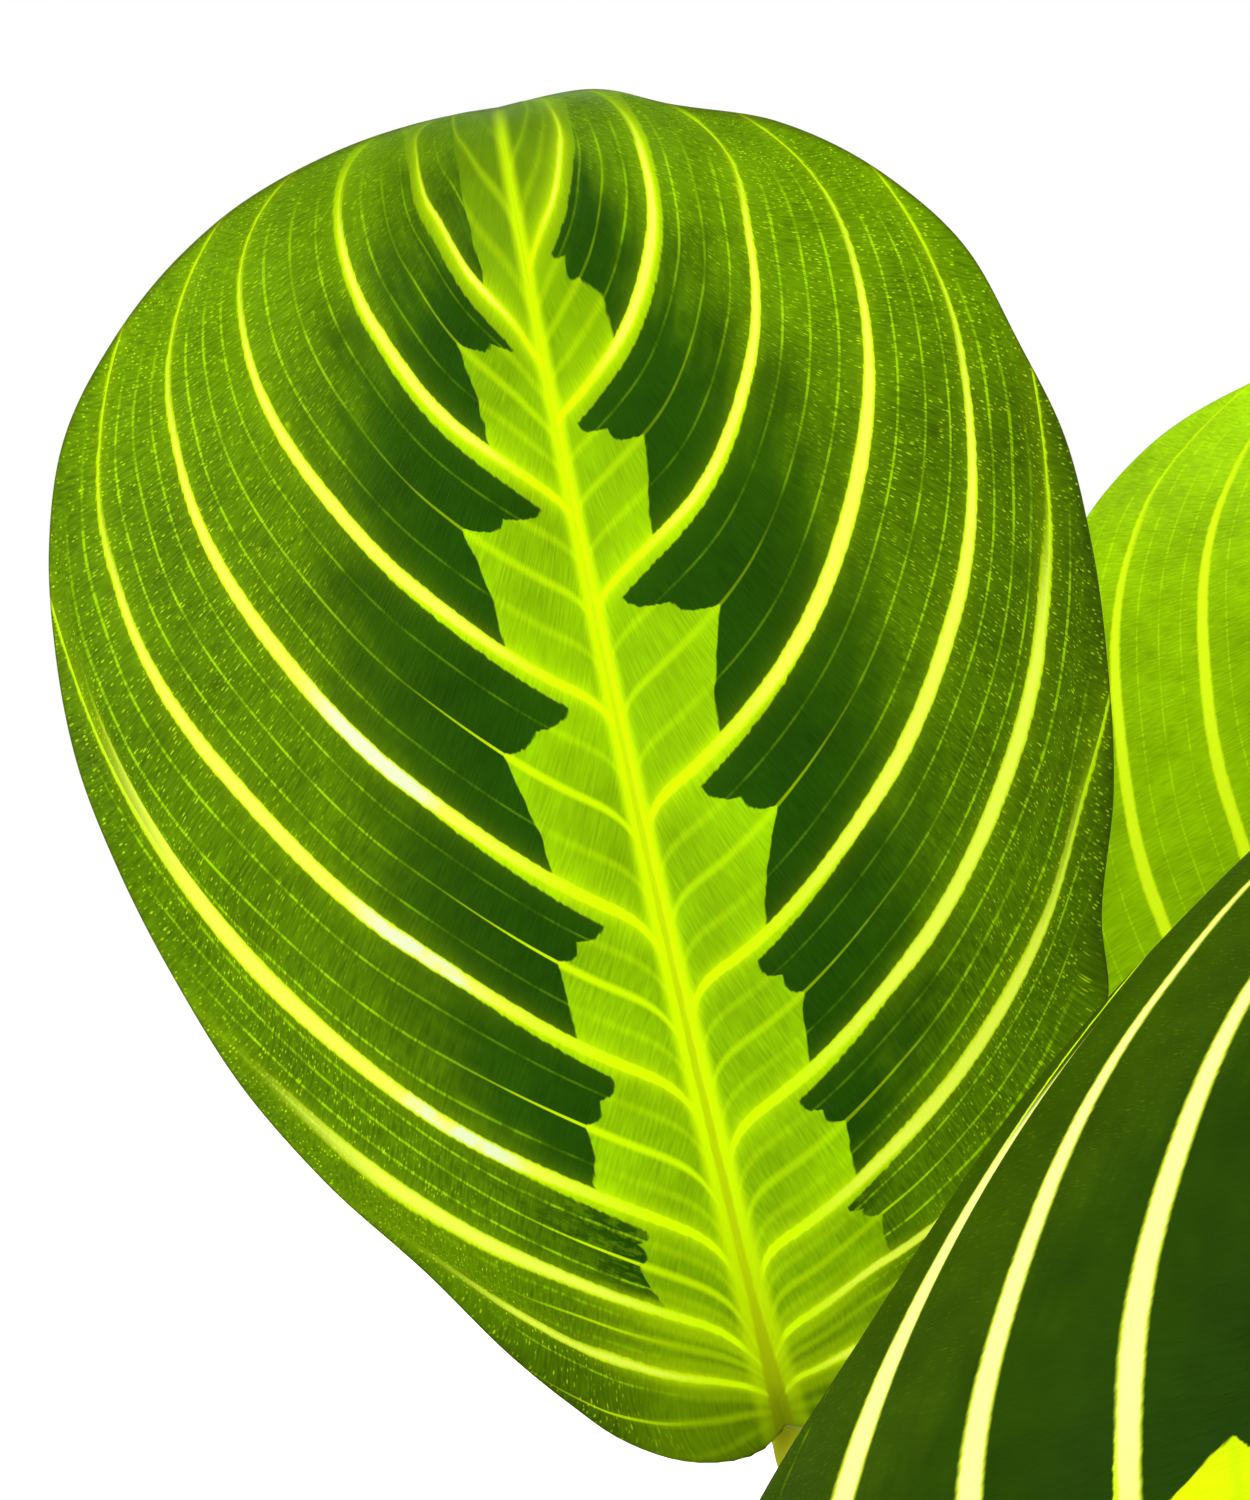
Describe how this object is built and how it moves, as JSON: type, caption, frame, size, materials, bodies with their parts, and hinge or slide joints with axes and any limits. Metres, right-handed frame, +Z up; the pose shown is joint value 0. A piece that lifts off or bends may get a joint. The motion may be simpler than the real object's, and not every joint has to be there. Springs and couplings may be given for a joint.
{
  "type": "potted prayer plant maranta",
  "caption": "Potted prayer plant with broad lime and dark green veined leaves on slim stalks, standing in a plain round clay pot of soil.",
  "frame": {"origin": "centre of the pot's flat foot, on the surface it stands on", "axes": "+Z up; -Y towards the viewer that the large front leaf faces; +X to that viewer's right"},
  "size_m": [0.3422, 0.3122, 0.2894],
  "materials": {
    "clay": "matt",
    "soil": "matt",
    "stem": "satin",
    "blade": "satin",
    "new_blade": "satin"
  },
  "bodies": {
    "root": {"pot": "clay", "soil": "soil", "shoot_1": "stem", "shoot_2": "stem", "shoot_3": "stem", "shoot_4": "stem", "shoot_5": "stem", "shoot_6": "stem", "shoot_7": "stem", "leaf_01": "blade", "leaf_02": "blade", "leaf_03": "blade", "leaf_04": "blade", "leaf_05": "blade", "leaf_06": "blade", "leaf_07": "blade", "leaf_08": "blade", "leaf_09": "blade", "leaf_10": "blade", "leaf_11": "blade", "leaf_12": "blade", "leaf_13": "blade", "leaf_14": "blade", "leaf_15": "blade", "leaf_16": "blade", "leaf_17": "blade", "leaf_18": "blade", "leaf_19": "blade", "leaf_20": "blade", "leaf_21": "blade", "new_leaf_1": "new_blade", "new_leaf_2": "new_blade"}
  },
  "joints": []
}
